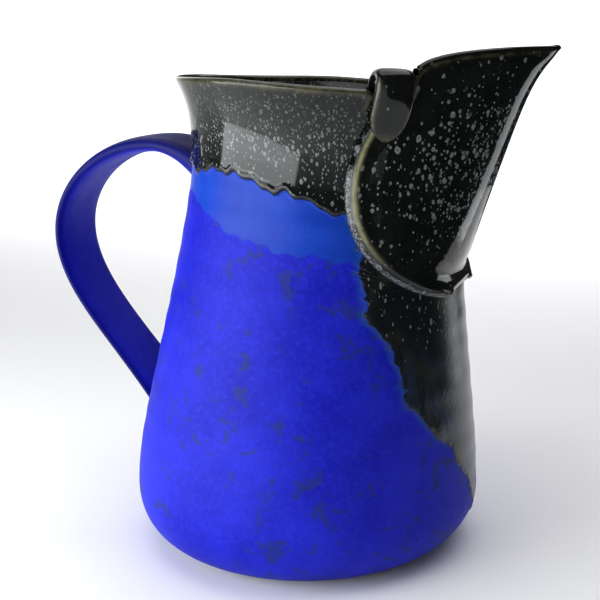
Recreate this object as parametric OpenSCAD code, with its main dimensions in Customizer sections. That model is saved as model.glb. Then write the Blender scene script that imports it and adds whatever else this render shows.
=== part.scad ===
// Studio pitcher: a thrown body whose wall leans toward the spout, a separate
// spout luted over a notch in the flared collar, a pulled strap handle and two
// clay lugs folded over the rim where the spout and the collar meet.
// Origin at the centre of the flat foot, +Z up, +X toward the spout.

/* [Body] */
// Rim height, measured along the leaning axis
rim_h = 220; // [175:1:270]
// Radius of the flat foot
foot_r = 54; // [42:0.5:64]
// Largest radius of the belly
belly_r = 83.5; // [69.5:0.5:96]
// Height of the widest part of the belly
belly_h = 28; // [20:1:36]
// Radius of the neck, the narrowest part of the wall
neck_r = 62.5; // [52:0.5:68]
// Length of the flared collar between neck and rim
collar_l = 42; // [30:1:52]
// Radius of the rim, outside the lip
rim_r = 73; // [68:0.5:84]
// Lean of the wall toward the spout, in degrees
lean = 4.6; // [0:0.1:7]
// Thickness of the thrown wall
wall_t = 5.5; // [4:0.25:7.5]
// Thickness of the floor
floor_t = 8; // [6:0.5:11]

/* [Spout] */
// Depth of the lower end of the spout below the rim
spout_depth = 85.5; // [76:0.5:96]
// Depth below the rim at which the spout grips the body widest
spout_wide_depth = 38; // [30:0.5:46]
// Half of the angle of body that the spout wraps, in degrees
spout_half_a = 63; // [56:0.5:68]
// Distance that the front of the spout stands out from the neck at the bottom
spout_low_out = 6.5; // [5:0.5:11]
// Distance that the front of the spout stands out from the rim at the tip
spout_tip_out = 21.5; // [15:0.5:40]
// Extra reach of the pulled lip at the very tip
beak_reach = 7; // [0:0.5:10]
// Height of the spout's edge above the rim, beside the lugs
spout_rear_rise = 6; // [3:0.5:9]
// Height of the tip above the rim
tip_rise = 21.5; // [14:0.5:30]
// Thickness of the spout's wall
spout_t = 5; // [4:0.25:6]
// Distance that the spout's attached edge stands out from the body
spout_proud = 4.5; // [3:0.25:6]
// Thickness of the slip that lutes the spout to the wall
lute_t = 0.05; // [0:0.05:0.3]
// Overlap of the spout on the wall, all round the notch
notch_lap = 9; // [6:0.5:14]

/* [Handle] */
// Width of the strap
strap_w = 36; // [24:0.5:43.5]
// Thickness of the strap at its upper root
strap_root_t = 10; // [7:0.25:12]
// Thickness of the strap at its crest
strap_crest_t = 8; // [5.5:0.25:10]
// Thickness of the strap where the hand grips it
strap_grip_t = 5.5; // [4:0.25:8]
// Thickness of the strap at its lower root
strap_low_t = 4.5; // [3.5:0.25:7]
// Distance from the foot's centre to the outermost point of the strap's middle
handle_reach = 124.5; // [112:0.5:149.5]
// Depth of the strap's crest below the rim, at its middle
handle_crest_depth = 29.5; // [22:0.5:36]
// Height of the strap's lower end
handle_low_h = 66; // [56:1:76]

/* [Lugs] */
// Width of each lug
lug_w = 16.5; // [13:0.5:24]
// Thickness of a lug's strap of clay, outside the spout's edge
lug_t = 4; // [3:0.25:6]
// Angle of each lug from the front of the pitcher, in degrees
lug_a = 53; // [48:0.5:56]
// Height of the lug's fold above the rim
lug_rise = 8; // [7.5:0.5:13]
// Length of a lug below the rim, outside
lug_out_l = 19; // [12:0.5:26]
// Length of a lug below the rim, inside
lug_in_l = 14; // [10:0.5:22]

/* [Hidden] */
$fn = 96;

blue = [0.13, 0.15, 0.84];
black = [0.12, 0.14, 0.13];

// Larger than the pitcher, for cutting planes
far = 400;
// Steps along each curved stretch of an outline
curve_steps = 10;

// Heights along the axis that follow the rim
neck_h = rim_h - collar_l;
spout_low_h = rim_h - spout_depth;
spout_wide_h = rim_h - spout_wide_depth;
handle_crest_h = rim_h - handle_crest_depth;
// Front of the spout, measured from the axis
spout_low_reach = neck_r + spout_low_out;
spout_tip_reach = rim_r + spout_tip_out;
// Lip thickness, thinner than the wall
lip_t = 0.7 * wall_t;
// Heights between which the upright foot turns into the leaning wall
bend_low_h = 0.4 * belly_h;
bend_high_h = 1.9 * belly_h;
// Sides of the vessel's round
vessel_sides = 64;

// Point at t, from 0 to 1, of a cubic curve with ends a and d
function bezier(a, b, c, d, t) =
    pow(1 - t, 3) * a + 3 * t * pow(1 - t, 2) * b + 3 * t * t * (1 - t) * c + pow(t, 3) * d;

function curve(a, b, c, d) =
    [for (i = [0:curve_steps]) bezier(a, b, c, d, i / curve_steps)];

// Wall from the belly to the rim, inset by the wall at the belly and the lip at the rim
function wall_line(wall_in, lip_in) = concat(
    curve(
        [belly_r - wall_in, belly_h],
        [belly_r - wall_in, belly_h + 26],
        [neck_r - wall_in + 3, neck_h - 48],
        [neck_r - wall_in, neck_h]
    ),
    rest(curve(
        [neck_r - wall_in, neck_h],
        [neck_r - wall_in - 0.8, neck_h + 0.38 * collar_l],
        [neck_r - lip_in + 3, rim_h - 0.3 * collar_l],
        [rim_r - lip_in, rim_h]
    ))
);

// Underside and belly, from the middle of the foot to the widest ring
function foot_line(wall_in, floor_in) = concat(
    [[2, floor_in]],
    curve(
        [foot_r - wall_in, floor_in],
        [foot_r + 17 - wall_in, floor_in],
        [belly_r - wall_in, belly_h - 16 + 0.5 * floor_in],
        [belly_r - wall_in, belly_h]
    )
);

// Tilt of the wall at a height along the axis, easing in over the belly
function tilt(h) = let (t = min(1, max(0, (h - bend_low_h) / (bend_high_h - bend_low_h))))
    lean * t * t * (3 - 2 * t);

// Middle of the wall's round at a height along the bent axis, summed in small steps
bend_steps = 12;
function axis_point(h) = let (step = h / bend_steps) [
    step * bend_sum([for (i = [0.5:bend_steps]) sin(tilt(i * step))]),
    step * bend_sum([for (i = [0.5:bend_steps]) cos(tilt(i * step))])
];
function bend_sum(values) = values * [for (v = values) 1];

// Ring of the vessel for one point of its outline
function vessel_ring(p) = let (mid = axis_point(p.y), a = tilt(p.y))
    [for (i = [0:vessel_sides - 1]) let (turn = 360 * i / vessel_sides, r = p.x) [
        mid.x + r * cos(turn) * cos(a),
        r * sin(turn),
        mid.y - r * cos(turn) * sin(a)
    ]];

// Closed surface through a list of rings of equal count, capped at both ends
module skin(rings) {
    n = len(rings[0]);
    sides = [for (k = [0:len(rings) - 2], i = [0:n - 1]) let (j = (i + 1) % n)
        [k * n + i, (k + 1) * n + i, (k + 1) * n + j, k * n + j]];
    first_cap = [for (i = [0:n - 1]) i];
    last_cap = [for (i = [n - 1:-1:0]) (len(rings) - 1) * n + i];
    polyhedron([for (ring = rings) each ring], concat(sides, [first_cap, last_cap]));
}

// Puts things on the leaning part of the axis
module leaning() {
    mid = axis_point(bend_high_h);
    translate([mid.x, 0, mid.y]) rotate([0, lean, 0]) translate([0, 0, -bend_high_h]) children();
}

// Outside of the wall above the belly as a solid, which the handle is trimmed to
module wall_solid() {
    line = [for (p = wall_line(0, 0)) if (p.y >= belly_h) p];
    leaning() rotate_extrude()
        polygon(concat([[0, line[0].y]], line, [[0, rim_h]]));
}

// The thrown shell: up the outside, over the lip and down the inside to the floor
module thrown_shell() {
    outside = concat(foot_line(0, 0), rest(wall_line(0, 0)));
    inside = concat(foot_line(wall_t, floor_t), rest(wall_line(wall_t, lip_t)));
    down = [for (i = [len(inside) - 1:-1:0]) inside[i]];
    skin([for (p = concat(outside, down)) vessel_ring(p)]);
}
function rest(list) = [for (i = [1:len(list) - 1]) list[i]];

module body() {
    color(blue) difference() {
        thrown_shell();
        leaning() spout_notch();
    }
}

// Front view of the notch that the spout covers, open at the rim
notch_half_w = neck_r * sin(spout_half_a) - notch_lap + spout_proud - 2;
notch_low_h = spout_low_h + notch_lap + 2;
module spout_notch() {
    drop = spout_wide_h - notch_low_h;
    rotate([90, 0, 90]) linear_extrude(height = far) polygon(concat(
        [for (i = [0:24]) let (a = 180 + 7.5 * i)
            [notch_half_w * cos(a), spout_wide_h + drop * rounded(sin(a))]],
        [[notch_half_w, rim_h + 5], [-notch_half_w, rim_h + 5]]
    ));
}
function rounded(s) = sign(s) * pow(abs(s), 0.9);

// Outer radius of the wall at a height along the axis, read off its outline
function wall_r(z) = lookup(z, [for (p = wall_line(0, 0)) [p.y, p.x]]);

// Half angle of the spout's attached edge at a height along the axis
edge_power = 2.3;
edge_narrowing = 0.0088;
function edge_a(z) = z < spout_wide_h
    ? spout_half_a * pow(max(0, 1 - pow((spout_wide_h - z) / (spout_wide_h - spout_low_h), edge_power)),
                         1 / edge_power)
    : spout_half_a - edge_narrowing * pow(z - spout_wide_h, 2);

// Rows of the spout from bottom to edge, and columns from one side to the other
spout_rows = 14;
spout_cols = 24;
spout_rear_h = rim_h + spout_rear_rise;

// Height of the spout's top edge at s, from -1 at one lug through 0 at the tip to 1
function top_h(s) = spout_rear_h
    + (tip_rise - spout_rear_rise) * (0.84 * (1 - pow(abs(s), 3)) + 0.16 * pow(1 - abs(s), 2));

// Share of the edge that the pulled beak takes up, and how late it turns outward
beak_half_s = 0.2;
beak_power = 11;

// Rows start a little above the lowest point, where the edge already has a width
row_start = 0.012;
row_power = 1.35;
function row_v(j) = row_start + (1 - row_start) * pow(j / spout_rows, row_power);
function row_rear_h(v) = spout_low_h + (spout_rear_h - spout_low_h) * v;
function row_h(s, v) = spout_low_h + (top_h(s) - spout_low_h) * v;

// Reach of the spout's front at a height along the axis
function front_reach(z) = spout_low_reach
    + (spout_tip_reach - spout_low_reach)
    * max(0, z - spout_low_h - notch_lap) / (rim_h + tip_rise - spout_low_h - notch_lap);

// Point of the spout's wall, where depth is the distance in from its outside.
// It never goes deeper than the outside of the wall that it is luted to.
function spout_point(s, v, depth) =
    let (
        rear_z = row_rear_h(v),
        z = row_h(s, v),
        a = edge_a(rear_z),
        rear = (wall_r(min(rear_z, rim_h)) + spout_proud - depth) * [cos(a), sin(a)],
        point = 1.1 + 0.9 * v,
        beak = beak_reach * exp(-pow(s / beak_half_s, 2)) * pow(v, beak_power),
        reach = front_reach(z) + beak - depth,
        free = [rear.x + (reach - rear.x) * pow(cos(90 * s), point), rear.y * sin(90 * s)],
        seated_r = max(norm(free), z < rim_h + spout_rear_rise ? wall_r(min(z, rim_h)) + lute_t : 0)
    )
    [free.x * seated_r / norm(free), free.y * seated_r / norm(free), z];

module spout() {
    n = spout_cols + 1;
    m = spout_rows + 1;
    side = function (depth) [for (j = [0:spout_rows], i = [0:spout_cols])
        spout_point(2 * i / spout_cols - 1, row_v(j), depth)];
    at = function (layer, j, i) layer * n * m + j * n + i;
    outer = [for (j = [0:m - 2], i = [0:n - 2])
        [at(0, j, i), at(0, j + 1, i), at(0, j + 1, i + 1), at(0, j, i + 1)]];
    inner = [for (j = [0:m - 2], i = [0:n - 2])
        [at(1, j, i), at(1, j, i + 1), at(1, j + 1, i + 1), at(1, j + 1, i)]];
    rim = [for (e = [[0, -1], [m - 1, 1]], i = [0:n - 2])
        e[1] > 0
            ? [at(0, e[0], i), at(1, e[0], i), at(1, e[0], i + 1), at(0, e[0], i + 1)]
            : [at(0, e[0], i), at(0, e[0], i + 1), at(1, e[0], i + 1), at(1, e[0], i)]];
    ends = [for (e = [[0, -1], [n - 1, 1]], j = [0:m - 2])
        e[1] > 0
            ? [at(0, j, e[0]), at(0, j + 1, e[0]), at(1, j + 1, e[0]), at(1, j, e[0])]
            : [at(0, j, e[0]), at(1, j, e[0]), at(1, j + 1, e[0]), at(0, j + 1, e[0])]];
    color(black) leaning()
        polyhedron(concat(side(0), side(spout_t)), concat(outer, inner, rim, ends));
}

// Wall on the handle's side, in the plane of the handle, at a height along the axis
function wall_x(h) = axis_point(h).x - wall_r(h) * cos(tilt(h));

// Depth to which the strap is made before it is trimmed to the wall
root_depth = 4.5;
low_depth = 5;

// Middle line of the strap, in the plane of the handle, with its thickness as third value
strap_line = let (
    root_x = wall_x(handle_crest_h) + root_depth,
    root = [root_x, handle_crest_h - 11.5, strap_root_t],
    crest = [root_x - 26, handle_crest_h, strap_crest_t],
    grip = [-handle_reach, (handle_crest_h + handle_low_h) / 2 + 17, strap_grip_t],
    low = [wall_x(handle_low_h) + low_depth, handle_low_h - 5, strap_low_t]
) concat(
    [for (i = [0:5]) bezier(root, [root_x - 10, handle_crest_h - 3, strap_root_t],
                            [root_x - 18, handle_crest_h, strap_crest_t], crest, i / 6)],
    [for (i = [0:15]) bezier(crest, [crest.x - 28, handle_crest_h, strap_crest_t],
                             [grip.x, grip.y + 25, strap_grip_t], grip, i / 16)],
    [for (i = [0:18]) bezier(grip, [grip.x, grip.y - 32, strap_grip_t],
                             [low.x - 17, low.y + 31, strap_low_t], low, i / 18)]
);

// One ring of the strap: a flat oval across the line, square to it
ring_sides = 20;
oval_power = 0.7;
function strap_ring(k) =
    let (
        here = strap_line[k],
        last = len(strap_line) - 1,
        ahead = strap_line[min(k + 1, last)] - strap_line[max(k - 1, 0)],
        along = [ahead.x, ahead.y] / norm([ahead.x, ahead.y])
    )
    [for (i = [0:ring_sides - 1]) let (
        a = 360 * i / ring_sides,
        across = strap_w / 2 * sign(cos(a)) * pow(abs(cos(a)), oval_power),
        out = here.z / 2 * sign(sin(a)) * pow(abs(sin(a)), oval_power)
    ) [here.x - along.y * out, across, here.y + along.x * out]];

module handle() {
    color(blue) difference() {
        skin([for (k = [0:len(strap_line) - 1]) strap_ring(k)]);
        wall_solid();
    }
}

// Distance that the spout swells beyond its attached edge under a lug
spout_swell = 1;

// A lug before it is fitted to the rim: a folded strap with a thumb-shaped outer end.
// It lies on the X axis and is turned to its place.
module lug_blank() {
    out_r = rim_r + spout_proud + spout_swell + lug_t;
    in_r = neck_r - wall_t;
    top_z = rim_h + lug_rise;
    intersection() {
        rotate([90, 0, 0]) linear_extrude(height = lug_w, center = true) polygon([
            [out_r - 6, rim_h - lug_out_l],
            [out_r - 0.5, rim_h - lug_out_l / 2],
            [out_r, rim_h],
            [out_r - 1, top_z - 3],
            [out_r - 3.5, top_z],
            [in_r + 7, top_z],
            [in_r + 4.5, top_z - 3],
            [in_r + 1.5, rim_h - lug_in_l],
            [in_r - 1, rim_h - lug_in_l - 6],
            [neck_r - 1, rim_h - lug_in_l - 6],
            [neck_r - 1, rim_h - lug_out_l - 6]
        ]);
        rotate([90, 0, 90]) linear_extrude(height = far) union() {
            translate([-lug_w / 2, rim_h - lug_out_l + lug_w / 2]) square([lug_w, far]);
            translate([0, rim_h - lug_out_l + lug_w / 2]) circle(d = lug_w);
        }
    }
}

// Section of the collar with the spout's edge on it, which a lug folds over
module rim_section() {
    grip = spout_proud + spout_swell;
    collar = [for (p = wall_line(0, 0)) if (p.y > neck_h - 20) p];
    inside = [for (p = wall_line(wall_t, lip_t)) if (p.y > neck_h - 20) p];
    top_h = rim_h + spout_rear_rise;
    polygon(concat(
        [for (p = collar) [p.x + grip, p.y]],
        [[rim_r + grip, top_h], [rim_r - lip_t, top_h]],
        [for (i = [len(inside) - 1:-1:0]) inside[i]]
    ));
}

module lug(side) {
    color(black) leaning() difference() {
        rotate([0, 0, side * lug_a]) lug_blank();
        rotate_extrude() rim_section();
    }
}

module near_lug() { lug(-1); }
module far_lug() { lug(1); }

body();
spout();
handle();
near_lug();
far_lug();
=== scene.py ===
"""Looks of the studio pitcher: clay pieces as smooth meshes, glazes, floor, lights and camera."""

import math

import bmesh
import bpy
import numpy as np
from mathutils import Matrix, Vector
from mathutils.kdtree import KDTree


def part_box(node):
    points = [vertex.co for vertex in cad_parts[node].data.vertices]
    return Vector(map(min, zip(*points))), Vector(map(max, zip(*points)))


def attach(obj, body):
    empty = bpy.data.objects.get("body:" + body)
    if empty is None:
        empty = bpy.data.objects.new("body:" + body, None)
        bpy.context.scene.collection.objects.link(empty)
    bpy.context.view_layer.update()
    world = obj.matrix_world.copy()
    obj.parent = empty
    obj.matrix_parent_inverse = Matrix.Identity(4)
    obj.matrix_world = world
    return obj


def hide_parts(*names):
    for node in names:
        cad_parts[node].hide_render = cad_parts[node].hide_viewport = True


MM = 0.001
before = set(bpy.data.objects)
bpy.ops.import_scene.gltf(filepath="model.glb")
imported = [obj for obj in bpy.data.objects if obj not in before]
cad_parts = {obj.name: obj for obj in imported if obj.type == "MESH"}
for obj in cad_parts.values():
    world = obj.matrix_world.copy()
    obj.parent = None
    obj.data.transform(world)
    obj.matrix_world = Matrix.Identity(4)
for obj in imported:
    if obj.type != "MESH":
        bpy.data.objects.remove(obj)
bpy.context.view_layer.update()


# ---------------------------------------------------------------- driving sizes, in millimetres
body_low, body_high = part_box("body")
BELLY_R = (body_high[1] - body_low[1]) / 2 / MM
RIM_H = 220.0
FOOT_R = 54.0
BELLY_H = 28.0
NECK_R = 62.5
COLLAR_L = 42.0
NECK_H = RIM_H - COLLAR_L
RIM_R = 73.0
LEAN = math.radians(4.6)
WALL_T = 5.5
LIP_T = 3.6
FLOOR_T = 8.0

SPOUT_LOW_H = 132.5
SPOUT_WIDE_H = 182.0
SPOUT_HALF_A = 63.0
SPOUT_LOW_REACH = 67.7
SPOUT_TIP_REACH = 93.3
BEAK_REACH = 8.0
SPOUT_REAR_H = RIM_H + 4.5
TIP_H = RIM_H + 20.2
SPOUT_T = 4.6
SPOUT_PROUD = 4.5
NOTCH_LAP = 9.0

STRAP_W = 36.5
HANDLE_REACH = 124.5
CREST_H = 190.5
GRIP_H = 145.2
HANDLE_END_DEPTH = 3.2
COAT_T = 0.9
THROWING_DEPTH = 0.12
# The coats stand out by this much, so the clay under them is drawn in
OUTSIDE_TRIM = 0.4
# Angle from the front at which the collar's lip ends beside a lug
LIP_END_A = 60.5

LUG_A = 53.0
LUG_W = 16.5
LUG_T = 4.5


# ---------------------------------------------------------------- shared shape formulas
def bezier(a, b, c, d, steps):
    t = np.linspace(0, 1, steps + 1)[:, None]
    a, b, c, d = (np.array(p, float) for p in (a, b, c, d))
    return (1 - t) ** 3 * a + 3 * t * (1 - t) ** 2 * b + 3 * t * t * (1 - t) * c + t ** 3 * d


def smooth(x, low, high):
    """0 below low, 1 above high, easing between."""
    t = np.clip((np.asarray(x, float) - low) / (high - low), 0, 1)
    return t * t * (3 - 2 * t)


def near(x, middle, width):
    """1 at the middle, falling to nearly 0 at twice the width from it."""
    return np.exp(-((np.asarray(x, float) - middle) / width) ** 2)


def wall_line(inset, lip_inset):
    """Outline of the wall from the belly to the rim, as rows of radius and height."""
    lower = bezier((BELLY_R - inset, BELLY_H), (BELLY_R - inset, BELLY_H + 26),
                   (NECK_R - inset + 3, NECK_H - 48), (NECK_R - inset, NECK_H), 200)
    upper = bezier((NECK_R - inset, NECK_H), (NECK_R - inset - 0.8, NECK_H + 0.38 * COLLAR_L),
                   (NECK_R - lip_inset + 3, RIM_H - 0.3 * COLLAR_L), (RIM_R - lip_inset, RIM_H), 80)
    return np.vstack([lower, upper[1:]])


OUTER_LINE = wall_line(0, 0)
INNER_LINE = wall_line(WALL_T, LIP_T)


def wall_r(h):
    return np.interp(h, OUTER_LINE[:, 1], OUTER_LINE[:, 0])


def tilt(h):
    return LEAN * smooth(h, 0.4 * BELLY_H, 1.9 * BELLY_H)


AXIS_H = np.linspace(-5, 260, 1061)
AXIS_X = np.concatenate([[0], np.cumsum(np.sin(tilt(AXIS_H[1:])) * np.diff(AXIS_H))])
AXIS_Z = np.concatenate([[0], np.cumsum(np.cos(tilt(AXIS_H[1:])) * np.diff(AXIS_H))]) + AXIS_H[0]


def bend(x, y, h):
    """Point of the pitcher from its place beside the straight axis: the axis leans toward +X."""
    x, y, h = np.broadcast_arrays(x, y, h)
    a = tilt(h)
    px = np.interp(h, AXIS_H, AXIS_X) + x * np.cos(a)
    pz = np.interp(h, AXIS_H, AXIS_Z) - x * np.sin(a)
    return np.stack([px, y, pz], -1)


# ---------------------------------------------------------------- mesh helpers
def make_object(name, verts_mm, faces, body="root", replaces=()):
    mesh = bpy.data.meshes.new(name)
    mesh.from_pydata([tuple(v * MM) for v in np.asarray(verts_mm)], [], faces)
    mesh.validate()
    mesh.update()
    mesh.polygons.foreach_set("use_smooth", [True] * len(mesh.polygons))
    obj = bpy.data.objects.new(name, mesh)
    bpy.context.scene.collection.objects.link(obj)
    if body:
        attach(obj, body)
    if replaces:
        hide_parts(*replaces)
    return obj


def add_value(obj, name, values):
    """Stores one number for each vertex, which the glazes read."""
    layer = obj.data.attributes.new(name, "FLOAT", "POINT")
    layer.data.foreach_set("value", np.asarray(values, np.float32).ravel())


def grid_faces(rows, cols, start=0, closed=False, flip=False):
    """Faces of a grid of vertices; closed joins its last column to its first."""
    faces = []
    for j in range(rows - 1):
        for i in range(cols if closed else cols - 1):
            k = (i + 1) % cols
            quad = (start + j * cols + i, start + j * cols + k,
                    start + (j + 1) * cols + k, start + (j + 1) * cols + i)
            faces.append(quad[::-1] if flip else quad)
    return faces


def weld(obj, distance_mm=0.02):
    """Joins doubled vertices and turns the faces outward."""
    bm = bmesh.new()
    bm.from_mesh(obj.data)
    bmesh.ops.remove_doubles(bm, verts=bm.verts, dist=distance_mm * MM)
    bmesh.ops.recalc_face_normals(bm, faces=bm.faces)
    bm.to_mesh(obj.data)
    bm.free()


# ---------------------------------------------------------------- glaze lines on the body
def symmetric_line(angles, values):
    """Value against the angle from the front, the same on both sides."""
    angles, values = np.array(angles, float), np.array(values, float)

    def line(turn):
        return np.interp(np.abs(turn), angles, values)
    return line


drip_height = symmetric_line([0, 62, 70, 77, 87, 96, 106, 121, 136, 180],
                             [164, 165.5, 169, 172.5, 175.5, 178, 179.5, 181, 179, 180])
band_height = symmetric_line([0, 58, 76, 99, 112, 126, 148, 180],
                             [146, 147.5, 150.7, 153, 156.4, 163, 168, 170])
run_half_angle_points = ([18, 36, 47, 60, 70, 78, 85, 93, 104, 115, 126, 134, 157, 170, 190],
                         [0, 4, 8.3, 16.5, 23.5, 31, 36, 40, 42, 46.5, 54.4, 56, 58, 62, 70])


def lobes(turn, seed):
    """Uneven scallops of a glaze edge, in millimetres, round the whole body."""
    a = np.radians(turn)
    waves = ((9, 0.9), (17, 0.7), (31, 0.75), (47, 0.6), (61, 0.25))
    rng = np.random.default_rng(seed)
    return sum(size * np.sin(count * a + rng.uniform(0, 6.3)) for count, size in waves)


# ---------------------------------------------------------------- body
def notch_half_angle(h):
    """Angle from the front at which the collar's wall is cut, by height; 0 below the notch."""
    low, wide = SPOUT_LOW_H + 11, SPOUT_WIDE_H
    fall = np.clip((wide - h) / (wide - low), 0, 1)
    width = 49.0 * np.clip(1 - fall ** 2.3, 0, 1) ** (1 / 2.3)
    return np.degrees(np.arcsin(np.clip(width / wall_r(h), 0, 0.95)))


def foot_rows(inset, floor, belly_h, count):
    """Outline of the flat foot and the belly's lower half, as rows of radius and height."""
    lower = bezier((FOOT_R - inset, floor), (FOOT_R + 17 - inset, floor),
                   (BELLY_R - inset, belly_h - 16 + 0.5 * floor), (BELLY_R - inset, belly_h), count)
    flat = np.linspace((0.5, floor), (FOOT_R - inset, floor), 9)[:-1]
    return np.vstack([flat, lower])


BODY_COLS = 360


def body():
    wall_h = np.concatenate([np.linspace(BELLY_H, 150, 80)[1:], np.linspace(150, 190, 46)[1:],
                             np.linspace(190, RIM_H, 34)[1:]])
    foot_out = foot_rows(0, 0, BELLY_H, 30)
    foot_in = foot_rows(WALL_T, FLOOR_T, BELLY_H, 30)
    out_r = np.concatenate([foot_out[:, 0], wall_r(wall_h)])
    out_h = np.concatenate([foot_out[:, 1], wall_h])
    in_r = np.concatenate([foot_in[:, 0], np.interp(wall_h, INNER_LINE[:, 1], INNER_LINE[:, 0])])
    in_h = np.concatenate([foot_in[:, 1], wall_h])
    rows = len(out_h)
    half = notch_half_angle(out_h)
    side = np.linspace(0, 1, BODY_COLS)
    turn = half[:, None] + (360 - 2 * half[:, None]) * side[None, :]
    turn = np.where(turn > 180, turn - 360, turn)
    a = np.radians(turn)

    coat_d = out_h[:, None] - drip_height(turn) - lobes(turn, 3)
    run_angle = np.interp(out_h, *run_half_angle_points)[:, None]
    run_d = (run_angle - np.abs(turn)) * np.radians(out_r)[:, None]
    run_d = run_d + 0.6 * lobes(out_h[:, None] * 2.2 + np.sign(turn) * 40, 8)
    below = smooth(out_h, 12, 20)[:, None]
    run_d = run_d * below - 8 * (1 - below)
    bead = near(coat_d, 1.6, 1.5)
    relief = COAT_T * smooth(coat_d, 0, 1.6) + 0.45 * bead
    relief = np.maximum(relief, 0.45 * smooth(run_d, 0, 1.6) + 0.2 * near(run_d, 1.3, 1.1))
    throwing = THROWING_DEPTH * np.sin(out_h / 2.3 + 0.5 * np.sin(out_h / 9.0))[:, None]
    throwing = throwing * smooth(out_h, 30, 60)[:, None] * smooth(NECK_H - out_h, 0, 12)[:, None]
    r_out = out_r[:, None] + (relief + throwing) * smooth(out_h, 1, 8)[:, None] - OUTSIDE_TRIM

    # the collar's lip ends beside each lug, in a step down to the lug's seat
    step = 0.4 * smooth(LIP_END_A - np.abs(turn), 0, 1.6) * smooth(out_h, RIM_H - 7, RIM_H - 4)[:, None]
    drop = 2.6 * step * smooth(out_h, RIM_H - 6, RIM_H)[:, None]
    # the rim is a little uneven and sits lower over the handle
    at_rim = smooth(out_h, RIM_H - 35, RIM_H)[:, None]
    rear = smooth(-np.cos(a), 0.2, 1.0)
    drop = drop + at_rim * (2.0 - 1.3 * np.cos(a + math.radians(110)) + 2.5 * rear)
    r_out = r_out - 2.6 * at_rim * rear
    in_r = in_r[:, None] - 2.6 * at_rim * rear
    outer = bend(r_out * np.cos(a) - 0.8 * step * np.cos(a), r_out * np.sin(a), out_h[:, None] - drop)
    inner = bend(in_r * np.cos(a), in_r * np.sin(a), in_h[:, None] - drop)
    verts = [outer.reshape(-1, 3), inner.reshape(-1, 3)]
    count = rows * BODY_COLS
    faces = grid_faces(rows, BODY_COLS) + grid_faces(rows, BODY_COLS, start=count, flip=True)

    # rounded lip: half rings between the top rows, proud of the wall
    lip_steps = 7
    top_out, top_in = outer[-1], inner[-1]
    middle, across = (top_out + top_in) / 2, (top_out - top_in) / 2
    up = np.array([math.sin(LEAN), 0, math.cos(LEAN)])
    height = np.linalg.norm(across, axis=1)[:, None]
    lips = [top_out]
    for k in range(1, lip_steps):
        angle = math.pi * k / lip_steps
        lips.append(middle + across * math.cos(angle) * 1.12 + up * height * math.sin(angle) * 0.95)
    lips.append(top_in)
    verts.append(np.concatenate(lips))
    faces += grid_faces(lip_steps + 1, BODY_COLS, start=2 * count)

    # cut edges of the notch, from the outside to the inside
    base = 2 * count + (lip_steps + 1) * BODY_COLS
    first = int(np.argmax(half > 0)) - 1
    for edge, flip in ((0, False), (BODY_COLS - 1, True)):
        strip_rows = rows - first
        strip = [outer[first:, edge]]
        for k in (1, 2, 3):
            t = k / 4
            bulge = 1.2 * math.sin(math.pi * t)
            tangent = outer[first:, 1 if edge == 0 else -2] - outer[first:, edge]
            tangent /= np.maximum(np.linalg.norm(tangent, axis=1), 1e-6)[:, None]
            strip.append(outer[first:, edge] * (1 - t) + inner[first:, edge] * t - tangent * bulge)
        strip.append(inner[first:, edge])
        verts.append(np.concatenate(strip))
        faces += grid_faces(5, strip_rows, start=base, flip=flip)
        base += 5 * strip_rows

    verts = np.concatenate(verts)
    obj = make_object("body_clay", verts, faces, replaces=("body",))
    total = len(verts)
    # distance from a glaze line that stands for well inside or well outside it
    big = 60.0

    def fill(outer_values, rest_value):
        """The outer wall's values, with one value for the inside, the lip and the cut edges."""
        spread = np.broadcast_to(outer_values, turn.shape)
        return np.concatenate([spread.ravel(), np.full(total - count, rest_value)])
    add_value(obj, "coat", fill(coat_d, big))
    add_value(obj, "run", fill(run_d, -big))
    add_value(obj, "band", fill(out_h[:, None] - band_height(turn) - 0.7 * lobes(turn, 5), big))
    edge = near(out_h, RIM_H, 1.1)[:, None]
    lip_end = near(np.abs(turn), LIP_END_A - 0.3, 0.9) * smooth(out_h, RIM_H - 8, RIM_H - 4)[:, None]
    edge = np.maximum(edge, lip_end)
    edges = fill(edge, 0.0)
    edges[2 * count:2 * count + (lip_steps + 1) * BODY_COLS] = 1.0
    add_value(obj, "edge", edges)
    add_value(obj, "height", fill(out_h[:, None], RIM_H))
    add_value(obj, "foot", fill(near(out_h, 2.5, 3.2)[:, None], 0.0))
    weld(obj)
    return obj


# ---------------------------------------------------------------- spout
def edge_a(h):
    low = np.clip((SPOUT_WIDE_H - h) / (SPOUT_WIDE_H - SPOUT_LOW_H), 0, 1)
    rising = SPOUT_HALF_A * np.clip(1 - low ** 2.3, 0, 1) ** (1 / 2.3)
    return np.where(h < SPOUT_WIDE_H, rising, SPOUT_HALF_A - 0.0088 * (h - SPOUT_WIDE_H) ** 2)


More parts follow.
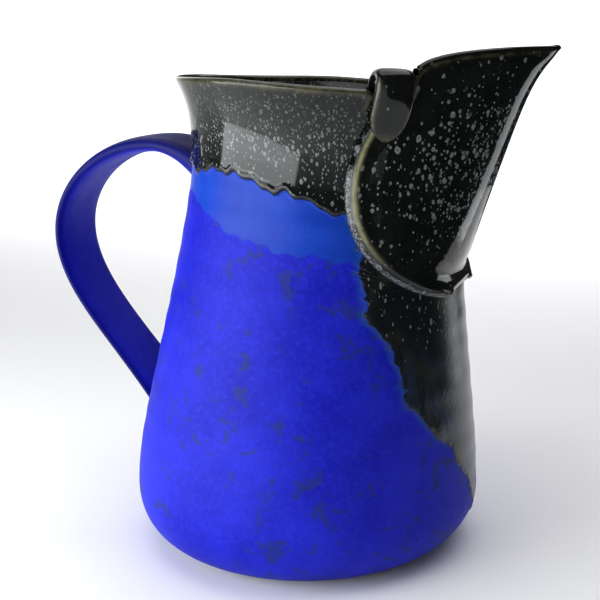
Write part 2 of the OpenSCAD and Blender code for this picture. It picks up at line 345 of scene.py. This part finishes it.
def spout_surface(s, v, depth):
    """Outside of the spout, or its inside at a depth; s goes round from lug to lug, v up."""
    rise_share = 0.84 * (1 - np.abs(s) ** 3) + 0.16 * (1 - np.abs(s)) ** 2
    top = SPOUT_REAR_H + (TIP_H - SPOUT_REAR_H) * rise_share
    rear_h = SPOUT_LOW_H + (SPOUT_REAR_H - SPOUT_LOW_H) * v
    h = SPOUT_LOW_H + (top - SPOUT_LOW_H) * v
    a = np.radians(edge_a(rear_h))
    rear_r = wall_r(np.minimum(rear_h, RIM_H)) + SPOUT_PROUD - depth
    rear_x, rear_y = rear_r * np.cos(a), rear_r * np.sin(a)
    point = 1.1 + 0.9 * v
    beak = BEAK_REACH * np.exp(-(s / 0.2) ** 2) * v ** 11
    rise = np.maximum(0, h - SPOUT_LOW_H - NOTCH_LAP) / (TIP_H - SPOUT_LOW_H - NOTCH_LAP)
    reach = SPOUT_LOW_REACH + (SPOUT_TIP_REACH - SPOUT_LOW_REACH) * rise + beak - depth
    x = rear_x + (reach - rear_x) * np.cos(np.pi / 2 * s) ** point
    y = rear_y * np.sin(np.pi / 2 * s)
    r = np.hypot(x, y)
    seat = np.where(h < SPOUT_REAR_H, wall_r(np.minimum(h, RIM_H)) + 0.1, 0)
    grow = np.maximum(r, seat) / r
    return np.stack([x * grow, y * grow, h], -1)


SPOUT_COLS = 150
SPOUT_ROWS = 110


def spout():
    s = np.linspace(-1, 1, SPOUT_COLS)[None, :]
    v = (0.012 + 0.988 * np.linspace(0, 1, SPOUT_ROWS) ** 1.3)[:, None]
    outer = spout_surface(s, v, 0.0)
    inner = spout_surface(s, v, SPOUT_T)
    # boundary loop round the grid: bottom, far side, top, near side
    n, m = SPOUT_COLS, SPOUT_ROWS
    loop = [(0, i) for i in range(n)] + [(j, n - 1) for j in range(1, m)]
    loop += [(m - 1, i) for i in range(n - 2, -1, -1)] + [(j, 0) for j in range(m - 2, 0, -1)]
    attached = [k for k in loop if k[0] < m - 1]
    tree = KDTree(len(attached))
    for k, (j, i) in enumerate(attached):
        tree.insert(Vector(outer[j, i]), k)
    tree.balance()
    seam_d = np.array([tree.find(Vector(p))[2] for p in outer.reshape(-1, 3)]).reshape(m, n)
    lip = [Vector(outer[m - 1, i]) for i in range(n)]
    lip_tree = KDTree(n)
    for k, p in enumerate(lip):
        lip_tree.insert(p, k)
    lip_tree.balance()
    lip_d = np.array([lip_tree.find(Vector(p))[2] for p in outer.reshape(-1, 3)]).reshape(m, n)

    # a rolled crest along the attached edge, with a shallow trough in front of it
    du = np.gradient(outer, axis=1)
    dv = np.gradient(outer, axis=0)
    normal = np.cross(du, dv)
    normal /= np.maximum(np.linalg.norm(normal, axis=2), 1e-6)[..., None]
    crest = 0.8 * near(seam_d, 2.2, 2.0) - 0.4 * near(seam_d, 8, 4.0)
    thin = -0.9 * near(lip_d, 0, 3.5)
    outer = outer + normal * (crest + thin * smooth(seam_d, 2, 10))[..., None]

    bent_out = bend(outer[..., 0], outer[..., 1], outer[..., 2])
    bent_in = bend(inner[..., 0], inner[..., 1], inner[..., 2])
    verts = [bent_out.reshape(-1, 3), bent_in.reshape(-1, 3)]
    count = n * m
    faces = grid_faces(m, n) + grid_faces(m, n, start=count, flip=True)
    o = np.array([bent_out[j, i] for j, i in loop])
    o_in = np.array([bent_in[j, i] for j, i in loop])
    ahead = np.array([bent_out[min(max(j, 1), m - 2), min(max(i, 1), n - 2)] for j, i in loop])
    ahead_in = np.array([bent_in[min(max(j, 1), m - 2), min(max(i, 1), n - 2)] for j, i in loop])
    away = (o - ahead) + (o_in - ahead_in)
    along = np.roll(o, -1, axis=0) - np.roll(o, 1, axis=0)
    along /= np.linalg.norm(along, axis=1)[:, None]
    across = (o - o_in) / 2
    away -= along * np.sum(away * along, axis=1)[:, None]
    unit = across / np.maximum(np.linalg.norm(across, axis=1), 1e-6)[:, None]
    away -= unit * np.sum(away * unit, axis=1)[:, None]
    away /= np.maximum(np.linalg.norm(away, axis=1), 1e-6)[:, None]
    half_t = np.linalg.norm(across, axis=1)[:, None]
    steps = 8
    rim_rows = []
    for k in range(steps + 1):
        angle = math.pi * k / steps
        rim_rows.append((o + o_in) / 2 + across * math.cos(angle) + away * half_t * 0.8 * math.sin(angle))
    verts.append(np.concatenate(rim_rows))
    faces += grid_faces(steps + 1, len(loop), start=2 * count, closed=True)
    verts = np.concatenate(verts)
    obj = make_object("spout_clay", verts, faces, replaces=("spout",))
    total = len(verts)
    loop_seam = np.array([0.0 if j < m - 1 else 50.0 for j, i in loop])
    rim_seam = np.tile(loop_seam, steps + 1)
    height = outer[..., 2]

    def on_outside(values):
        return np.concatenate([values.ravel(), np.zeros(total - count)])
    # yellow-olive line along the spout's crest: partly the glaze breaking thin over the crest, partly a
    # painted highlight
    crest_break_and_highlight = near(seam_d, 2.0, 1.0) * smooth(height, 145, 170) * smooth(224 - height, 0, 14)
    add_value(obj, "crest", on_outside(crest_break_and_highlight))
    # the glaze paints the rounded cut edges, where the spout meets the wall, with a silvery speckle: a
    # painted highlight
    add_value(obj, "cut", np.concatenate([np.zeros(2 * count), near(rim_seam, 0, 5)]))
    add_value(obj, "lip", on_outside(near(lip_d, 1.0, 0.7)))
    spots = 1.3 * near(height, 190, 32) * (0.22 + 0.78 * near(seam_d, 48, 22))
    add_value(obj, "spots", on_outside(spots))
    weld(obj)
    return obj


# ---------------------------------------------------------------- handle
def strap_line():
    """Middle of the strap as rows of x, z and thickness, from the neck down to the belly."""
    root = bezier((-46, 179, 14), (-56, CREST_H - 3, 11), (-64, CREST_H, 8.4), (-72, CREST_H, 8), 14)
    crest = bezier((-72, CREST_H, 8), (-100, CREST_H, 8), (-HANDLE_REACH, GRIP_H + 24.8, 5.6),
                   (-HANDLE_REACH, GRIP_H, 5.5), 44)
    grip = bezier((-HANDLE_REACH, GRIP_H, 5.5), (-HANDLE_REACH, GRIP_H - 32.2, 5.4),
                  (-87, 87, 4.6), (-72, 56, 4.4), 56)
    return np.vstack([root, crest[1:], grip[1:]])


def handle():
    line = strap_line()
    count = len(line)
    along = np.gradient(line[:, :2], axis=0)
    along /= np.linalg.norm(along, axis=1)[:, None]
    reach = np.concatenate([[0], np.cumsum(np.linalg.norm(np.diff(line[:, :2], axis=0), axis=1))])
    end_gap = np.minimum(reach, reach[-1] - reach)
    widen = 1 + 0.16 * near(reach, 0, 9) + 0.10 * near(reach, reach[-1], 24)
    widen = widen * (1 - 0.35 * smooth(reach, reach[-1] - 10, reach[-1]))
    sides = 44
    turn = np.linspace(0, 2 * np.pi, sides, endpoint=False)
    across = np.sign(np.cos(turn)) * np.abs(np.cos(turn)) ** 0.62
    out = np.sign(np.sin(turn)) * np.abs(np.sin(turn)) ** 0.8
    verts = np.zeros((count, sides, 3))
    for k in range(count):
        x, z, t = line[k]
        w = STRAP_W / 2 * widen[k]
        lift = out * t / 2
        verts[k, :, 0] = x - along[k, 1] * lift
        verts[k, :, 1] = across * w
        verts[k, :, 2] = z + along[k, 0] * lift
    # the ends are pressed onto the round of the wall and stop inside its thickness
    pressed = near(end_gap, 0, 20)[:, None]
    verts[:, :, 0] += pressed * verts[:, :, 1] ** 2 / (1.9 * BELLY_R)
    wall_mid = np.interp(verts[:, :, 2], AXIS_Z, AXIS_X)
    within_r = wall_r(verts[:, :, 2]) - HANDLE_END_DEPTH
    within = np.sqrt(np.maximum(within_r ** 2 - verts[:, :, 1] ** 2, 0))
    verts[:, :, 0] = np.minimum(verts[:, :, 0], wall_mid - within)
    faces = grid_faces(count, sides, closed=True)
    faces.append(tuple(range(sides))[::-1])
    faces.append(tuple((count - 1) * sides + i for i in range(sides)))
    obj = make_object("handle_clay", verts.reshape(-1, 3), faces, replaces=("handle",))
    # the glaze reads this mark to paint one side of the strap dark navy: painted shade
    add_value(obj, "inside", np.tile(out, count))
    weld(obj)
    return obj


# ---------------------------------------------------------------- lugs
def lug(name, node, side):
    """A strap of clay folded over the rim, with a thumb-shaped outer end."""
    outside = bezier((70.5, 200.5), (73.5, 211), (77.0, 215), (78.5, 222), 22)
    over = bezier((78.5, 222), (79.5, 227), (76.5, 227.6), (74, 227.4), 10)
    back = bezier((74, 227.4), (69, 227.0), (68.0, 224), (66.5, 219), 10)
    inside = bezier((66.5, 219), (63, 212), (59, 206), (57.5, 203), 12)
    line = np.vstack([outside, over[1:], back[1:], inside[1:]])
    count = len(line)
    reach = np.concatenate([[0], np.cumsum(np.linalg.norm(np.diff(line, axis=0), axis=1))])
    along = np.gradient(line, axis=0)
    along /= np.linalg.norm(along, axis=1)[:, None]
    from_end = np.minimum(reach / 12.5, (reach[-1] - reach) / 7.0)
    width = LUG_W / 2 * np.sqrt(np.clip(1 - (1 - np.clip(from_end, 0.02, 1)) ** 2, 0, 1))
    width *= 1 - 0.06 * smooth(reach, 24, 34)
    thick = LUG_T / 2 * (0.35 + 0.65 * np.clip(from_end * 2.2, 0, 1) ** 0.5)
    sides = 32
    turn = np.linspace(0, 2 * np.pi, sides, endpoint=False)
    across = np.sign(np.cos(turn)) * np.abs(np.cos(turn)) ** 0.6
    out = np.sign(np.sin(turn)) * np.abs(np.sin(turn)) ** 0.75
    a = side * math.radians(LUG_A)
    radial, tangent = np.array([math.cos(a), math.sin(a)]), np.array([-math.sin(a), math.cos(a)])
    verts = []
    for k in range(count):
        lift = np.where(out > 0, out * thick[k], out * (thick[k] + 5.4 * near(reach[k], 27, 8)))
        r = line[k, 0] + along[k, 1] * lift
        h = line[k, 1] - along[k, 0] * lift
        w = across * width[k]
        r = r - w * w / (2 * line[k, 0])
        xy = r[:, None] * radial + w[:, None] * tangent
        verts.append(bend(xy[:, 0], xy[:, 1], h))
    faces = grid_faces(count, sides, closed=True)
    faces.append(tuple(range(sides))[::-1])
    faces.append(tuple((count - 1) * sides + i for i in range(sides)))
    obj = make_object(name, np.concatenate(verts), faces, replaces=(node,))
    edge = np.maximum(near(np.abs(across)[None, :], 0.93, 0.08) * np.ones((count, 1)),
                      near(from_end, 0, 0.25)[:, None] * np.ones((1, sides)))
    outer_face = (reach < 26)[:, None] * np.ones((1, sides))
    add_value(obj, "lip", (edge * outer_face).ravel())
    add_value(obj, "crest", np.zeros(count * sides))
    add_value(obj, "cut", np.zeros(count * sides))
    add_value(obj, "spots", np.full(count * sides, 0.03))
    weld(obj)
    return obj


# ---------------------------------------------------------------- glaze node helpers
class Glaze:
    """A material and short calls that add nodes to it. Inputs are numbers, colours or sockets."""

    def __init__(self, name):
        self.material = bpy.data.materials.new(name)
        self.material.use_nodes = True
        self.tree = self.material.node_tree
        self.shader = self.tree.nodes["Principled BSDF"]
        self.place = self.add("ShaderNodeTexCoord").outputs["Object"]

    def add(self, kind, **settings):
        node = self.tree.nodes.new(kind)
        for key, setting in settings.items():
            setattr(node, key, setting)
        return node

    def feed(self, socket, source):
        if isinstance(source, bpy.types.NodeSocket):
            self.tree.links.new(source, socket)
        elif isinstance(source, tuple) and len(source) == 3 and socket.type == "RGBA":
            socket.default_value = (*source, 1.0)
        else:
            socket.default_value = source

    def math(self, operation, a, b=0.0, clamp=False):
        node = self.add("ShaderNodeMath", operation=operation, use_clamp=clamp)
        self.feed(node.inputs[0], a)
        self.feed(node.inputs[1], b)
        return node.outputs[0]

    def ramp(self, x, low, high, to_low=0.0, to_high=1.0):
        node = self.add("ShaderNodeMapRange", interpolation_type="SMOOTHSTEP")
        for key, source in zip(("Value", "From Min", "From Max", "To Min", "To Max"),
                               (x, low, high, to_low, to_high)):
            self.feed(node.inputs[key], source)
        return node.outputs["Result"]

    def wander(self, noise, size):
        """Noise about 0 with this full size."""
        return self.math("MULTIPLY", self.math("SUBTRACT", noise, 0.5), size)

    def blend(self, share, a, b):
        node = self.add("ShaderNodeMix", data_type="RGBA")
        self.feed(node.inputs[0], share)
        self.feed(node.inputs[6], a)
        self.feed(node.inputs[7], b)
        return node.outputs[2]

    def between(self, share, a, b):
        node = self.add("ShaderNodeMix", data_type="FLOAT")
        self.feed(node.inputs[0], share)
        self.feed(node.inputs[2], a)
        self.feed(node.inputs[3], b)
        return node.outputs[0]

    def mark(self, name):
        return self.add("ShaderNodeAttribute", attribute_name=name).outputs["Fac"]

    def stretched(self, x, y, z):
        node = self.add("ShaderNodeMapping")
        self.feed(node.inputs["Vector"], self.place)
        node.inputs["Scale"].default_value = (x, y, z)
        return node.outputs[0]

    def noise(self, size_mm, detail=3.0, rough=0.55, vector=None, distort=0.0):
        node = self.add("ShaderNodeTexNoise")
        self.feed(node.inputs["Vector"], vector or self.place)
        node.inputs["Scale"].default_value = 1000.0 / size_mm
        node.inputs["Detail"].default_value = detail
        node.inputs["Roughness"].default_value = rough
        node.inputs["Distortion"].default_value = distort
        return node.outputs["Fac"]

    def cells(self, size_mm, vector=None):
        node = self.add("ShaderNodeTexVoronoi")
        self.feed(node.inputs["Vector"], vector or self.place)
        node.inputs["Scale"].default_value = 1000.0 / size_mm
        split = self.add("ShaderNodeSeparateColor")
        self.feed(split.inputs[0], node.outputs["Color"])
        return node.outputs["Distance"], split.outputs[0], split.outputs[1]

    def finish(self, colour, rough, height=None, depth_mm=0.2, **extra):
        self.feed(self.shader.inputs["Base Color"], colour)
        self.feed(self.shader.inputs["Roughness"], rough)
        for key, source in extra.items():
            self.feed(self.shader.inputs[key.replace("_", " ")], source)
        if height is not None:
            bump = self.add("ShaderNodeBump")
            bump.inputs["Distance"].default_value = depth_mm * MM
            bump.inputs["Strength"].default_value = 1.0
            self.feed(bump.inputs["Height"], height)
            self.feed(self.shader.inputs["Normal"], bump.outputs[0])
        return self.material


# ---------------------------------------------------------------- glazes
BLACK = (0.003, 0.004, 0.0037)
SPOT_GREY = (0.16, 0.175, 0.17)
GOLD = (0.06, 0.056, 0.03)


def oil_spots(g, density, stretch=0.8, scale=1.0):
    """Silvery oil spots in a black glaze: dots of uneven size, some with a dark middle."""
    place = g.stretched(1.0, 1.0, stretch)
    ragged = g.wander(g.noise(1.0, 2), 0.3)
    total = None
    for size, least, most, share in ((4.0, 0.16, 0.34, 1.0), (2.7, 0.16, 0.38, 1.1), (1.6, 0.14, 0.38, 1.1)):
        distance, pick, choose = g.cells(size * scale, place)
        distance = g.math("ADD", distance, ragged)
        radius = g.between(pick, least, most)
        dot = g.ramp(g.math("SUBTRACT", radius, distance), -0.02, 0.09)
        hole = g.ramp(g.math("SUBTRACT", g.math("MULTIPLY", radius, 0.4), distance), -0.04, 0.05)
        hollow = g.math("MULTIPLY", hole, g.ramp(pick, 0.6, 0.8, 0.0, 0.5))
        dot = g.math("SUBTRACT", dot, hollow, clamp=True)
        shown = g.ramp(g.math("SUBTRACT", g.math("MULTIPLY", density, share), choose), -0.05, 0.05)
        layer = g.math("MULTIPLY", dot, shown)
        total = layer if total is None else g.math("MAXIMUM", total, layer)
    return total


def black_colour(g):
    cloud = g.noise(14, 4, 0.6)
    return g.blend(g.ramp(cloud, 0.35, 0.7), BLACK, (0.006, 0.008, 0.006))


def blue_colour(g):
    """Matte ultramarine with soft mottling and fine grain."""
    wide = g.noise(38, 5, 0.6)
    fine = g.noise(2.2, 4, 0.65)
    colour = g.blend(g.ramp(wide, 0.35, 0.68), (0.004, 0.006, 0.33), (0.009, 0.014, 0.45))
    colour = g.blend(g.ramp(fine, 0.42, 0.75, 0.0, 0.35), colour, (0.018, 0.032, 0.62))
    return colour, fine


def blue_clay_glaze():
    g = Glaze("blue_glaze")
    colour, fine = blue_colour(g)
    # painted shade: dark navy where the inside mark is low and the strap's own blue where it is high, so one
    # side of the strap is darker than the other
    inside = g.ramp(g.mark("inside"), 0.2, 0.9)
    colour = g.blend(inside, (0.002, 0.003, 0.11), colour)
    rough = g.ramp(g.noise(20, 3), 0.3, 0.7, 0.42, 0.55)
    return g.finish(colour, rough, fine, 0.08, Specular_IOR_Level=0.12)


def body_glaze():
    g = Glaze("body_glaze")
    blue, fine = blue_colour(g)

    # dark worn blotches in the blue, and pale scratches low on the belly
    patch = g.noise(11, 5, 0.7, distort=0.5)
    region = g.noise(48, 2)
    blotch = g.math("MULTIPLY", g.ramp(patch, 0.55, 0.60), g.ramp(region, 0.42, 0.54))
    blue = g.blend(g.math("MULTIPLY", blotch, 0.7), blue, (0.012, 0.022, 0.12))
    scratch = g.ramp(g.noise(4.5, 5, 0.75, distort=2.5), 0.66, 0.72)
    low_down = g.ramp(g.mark("height"), 12, 60, 1.0, 0.0)
    blue = g.blend(g.math("MULTIPLY", g.math("MULTIPLY", scratch, low_down), 0.5), blue, (0.08, 0.12, 0.62))
    # darker, blotchy blue along the bottom few millimetres of the foot
    darker_at_foot = g.math("MULTIPLY", g.mark("foot"), g.ramp(g.noise(6, 4), 0.35, 0.6))
    blue = g.blend(darker_at_foot, blue, (0.006, 0.010, 0.05))

    # second, cyaner coat above the lower line
    band = g.ramp(g.math("ADD", g.mark("band"), g.wander(g.noise(5, 4, 0.6), 4.0)), -0.4, 0.9)
    band_blue = g.blend(g.ramp(g.noise(24, 3), 0.3, 0.7), (0.003, 0.026, 0.30), (0.006, 0.044, 0.38))
    colour = g.blend(band, blue, band_blue)
    rough = g.between(band, 0.55, 0.38)

    # black run under the spout
    run_wander = g.wander(g.noise(9, 4, 0.6, g.stretched(1, 1, 0.45)), 9.0)
    run_d = g.math("ADD", g.mark("run"), run_wander)
    run = g.ramp(run_d, -0.5, 1.0)
    streak = g.noise(8, 4, 0.6, g.stretched(1, 1, 0.3), 0.8)
    lower = g.ramp(g.mark("height"), 70, 125, 1.0, 0.0)
    run_colour = g.blend(g.math("MULTIPLY", g.ramp(streak, 0.38, 0.66), lower), (0.005, 0.007, 0.008),
                         (0.020, 0.038, 0.075))
    olive = g.math("MULTIPLY", g.ramp(g.noise(13, 3, 0.5, g.stretched(1, 1, 0.6)), 0.5, 0.66), 0.6)
    run_colour = g.blend(olive, run_colour, (0.022, 0.024, 0.015))
    run_spots = oil_spots(g, g.ramp(g.mark("height"), 95, 150, 0.0, 0.3), 0.5, 0.7)
    run_colour = g.blend(run_spots, run_colour, SPOT_GREY)
    fringe = g.math("MULTIPLY", g.ramp(run_d, -3.5, -0.2), g.math("SUBTRACT", 1.0, run))
    colour = g.blend(g.math("MULTIPLY", fringe, 0.6), colour, (0.012, 0.06, 0.20))
    colour = g.blend(run, colour, run_colour)
    rough = g.between(run, rough, 0.22)

    # thick black coat on the collar
    coat_d = g.math("ADD", g.mark("coat"), g.wander(g.noise(4, 3, 0.5), 1.6))
    coat = g.ramp(coat_d, -0.1, 0.35)
    h = g.mark("height")
    density = g.math("MULTIPLY", g.ramp(h, 180, 202, 0.3, 0.75), g.ramp(h, 210, 218, 1.0, 0.3))
    spots = oil_spots(g, density, 0.6, 0.62)
    spots = g.math("MULTIPLY", spots, g.ramp(h, 198, 206, 1.0, 0.45))
    spots = g.math("MULTIPLY", spots, g.ramp(g.mark("coat"), 0.5, 3))
    black = g.blend(g.math("MULTIPLY", spots, 0.9), black_colour(g), SPOT_GREY)
    edge = g.math("MULTIPLY", g.mark("edge"), g.ramp(g.noise(7, 3), 0.35, 0.65, 0.35, 1.0))
    black = g.blend(edge, black, GOLD)
    colour = g.blend(coat, colour, black)
    rough = g.between(coat, rough, g.between(spots, 0.08, 0.3))
    grain = g.math("MULTIPLY", fine, g.between(coat, 0.35, 0.0))
    surface = g.math("ADD", grain, g.ramp(coat_d, -0.1, 0.9))
    surface = g.math("ADD", surface, g.math("MULTIPLY", g.ramp(run_d, -0.4, 0.8), 0.45))
    glossy = g.math("MAXIMUM", coat, run)
    return g.finish(colour, rough, surface, 0.35, Specular_IOR_Level=g.between(glossy, 0.12, 0.35))


def black_clay_glaze():
    g = Glaze("black_glaze")
    density = g.math("MULTIPLY", g.mark("spots"), g.ramp(g.noise(22, 2), 0.3, 0.6, 0.45, 1.1))
    spots = oil_spots(g, density)
    colour = g.blend(g.math("MULTIPLY", spots, 0.9), black_colour(g), SPOT_GREY)
    uneven = g.noise(6, 3)
    # yellow-olive crest line: partly the glaze breaking thin over the crest, partly a painted highlight
    crest = g.math("MULTIPLY", g.mark("crest"), g.ramp(uneven, 0.3, 0.6, 0.5, 1.0))
    colour = g.blend(crest, colour, (0.24, 0.235, 0.13))
    # silvery grey speckle on the spout's cut edges: a painted highlight
    cut_edge_highlight = g.ramp(g.noise(0.9, 3, 0.7), 0.45, 0.62)
    colour = g.blend(g.math("MULTIPLY", g.mark("cut"), g.math("MULTIPLY", cut_edge_highlight, 0.85)), colour,
                     (0.22, 0.23, 0.25))
    colour = g.blend(g.math("MULTIPLY", g.mark("lip"), g.ramp(uneven, 0.35, 0.7, 0.2, 0.9)), colour, GOLD)
    rough = g.between(spots, 0.07, 0.3)
    rough = g.between(g.mark("cut"), rough, 0.3)
    return g.finish(colour, rough, g.noise(9, 3), 0.12, Specular_IOR_Level=0.35)


# ---------------------------------------------------------------- build the pieces
def paint(obj, material):
    obj.data.materials.clear()
    obj.data.materials.append(material)


body_piece = body()
spout_piece = spout()
handle_piece = handle()
near_lug_piece = lug("near_lug_clay", "near_lug", -1)
far_lug_piece = lug("far_lug_clay", "far_lug", 1)
black_glaze = black_clay_glaze()
paint(body_piece, body_glaze())
paint(handle_piece, blue_clay_glaze())
for piece in (spout_piece, near_lug_piece, far_lug_piece):
    paint(piece, black_glaze)


# ---------------------------------------------------------------- stage
def stage():
    """Pale floor that sweeps up into a backdrop."""
    profile = [(-2.0, 0.0)] + [(1.2 + 0.8 * math.sin(a), 0.8 - 0.8 * math.cos(a))
                               for a in np.linspace(0, math.pi / 2, 16)] + [(2.0, 3.0)]
    sweep_turn = Matrix.Rotation(math.radians(20), 3, "Z")
    verts = []
    for x in (-4.0, 4.0):
        verts += [sweep_turn @ Vector((x, y, z)) / MM for y, z in profile]
    obj = make_object("floor", verts, grid_faces(2, len(profile)), body=None)
    g = Glaze("floor")
    g.finish((0.90, 0.90, 0.91), 0.9, Specular_IOR_Level=0.0)
    paint(obj, g.material)


def dark_card():
    """Black card round the right and back of the pitcher, seen only in its reflections."""
    path = [(0.24, -0.30), (0.36, 0.35), (0.2, 0.72), (-0.45, 0.66)]
    corners = [Vector((x, y, z)) / MM for z in (0.0, 0.55) for x, y in path]
    card = make_object("dark_card", corners, grid_faces(2, len(path)), body=None)
    g = Glaze("dark_card")
    g.finish((0.01, 0.01, 0.01), 0.9)
    paint(card, g.material)
    card.visible_camera = False
    card.visible_diffuse = False
    card.visible_shadow = False


def panel(name, place, target, width, height, watts, colour=(1, 1, 1)):
    light = bpy.data.lights.new(name, "AREA")
    light.shape = "RECTANGLE"
    light.size, light.size_y = width, height
    light.energy = watts
    light.color = colour
    obj = bpy.data.objects.new(name, light)
    obj.location = place
    obj.rotation_euler = (Vector(target) - Vector(place)).to_track_quat("-Z", "Y").to_euler()
    bpy.context.scene.collection.objects.link(obj)


def lights():
    middle = (0, 0, 0.12)
    panel("window", (-0.55, -0.62, 0.42), middle, 0.62, 0.55, 3.4, (0.96, 0.98, 1.0))
    panel("low_window", (-0.27, -0.34, 0.125), (0.0, 0.0, 0.18), 0.60, 0.24, 2.5, (0.95, 0.98, 1.0))
    panel("rear_window", (0.27, 0.25, 0.07), (0.05, 0.0, 0.07), 0.10, 0.10, 0.05, (0.9, 0.95, 1.0))
    panel("top", (0.1, 0.1, 1.4), middle, 1.6, 1.6, 15)
    panel("back", (0.0, 1.2, 1.2), (0, 2.0, 0.6), 3.2, 1.2, 36)
    world = bpy.data.worlds.new("room")
    bpy.context.scene.world = world
    world.use_nodes = True
    world.node_tree.nodes["Background"].inputs[0].default_value = (0.5, 0.5, 0.52, 1)
    world.node_tree.nodes["Background"].inputs[1].default_value = 0.11


# ---------------------------------------------------------------- camera
CAMERA_TURN = math.radians(20)
CAMERA_RANGE = 0.513
CAMERA_HEIGHT = 0.2315
CAMERA_DIP = math.radians(12.71)
CAMERA_ROLL = math.radians(-0.93)
CAMERA_YAW = math.radians(0.247)
CAMERA_LENS = 65.5


def camera():
    data = bpy.data.cameras.new("camera")
    data.lens = CAMERA_LENS
    data.sensor_width = 36
    data.clip_start = 0.02
    obj = bpy.data.objects.new("camera", data)
    bpy.context.scene.collection.objects.link(obj)
    obj.location = (CAMERA_RANGE * math.sin(CAMERA_TURN), -CAMERA_RANGE * math.cos(CAMERA_TURN),
                    CAMERA_HEIGHT)
    turn = CAMERA_TURN + CAMERA_YAW
    right = Vector((math.cos(turn), math.sin(turn), 0))
    ahead = Vector((-math.sin(turn), math.cos(turn), 0))
    forward = ahead * math.cos(CAMERA_DIP) - Vector((0, 0, math.sin(CAMERA_DIP)))
    up = right.cross(forward)
    right_rolled = right * math.cos(CAMERA_ROLL) + up * math.sin(CAMERA_ROLL)
    up_rolled = up * math.cos(CAMERA_ROLL) - right * math.sin(CAMERA_ROLL)
    basis = Matrix((right_rolled, up_rolled, -forward)).transposed()
    obj.rotation_euler = basis.to_euler()
    bpy.context.scene.camera = obj


stage()
dark_card()
lights()
camera()
bpy.context.scene.view_settings.view_transform = "Standard"
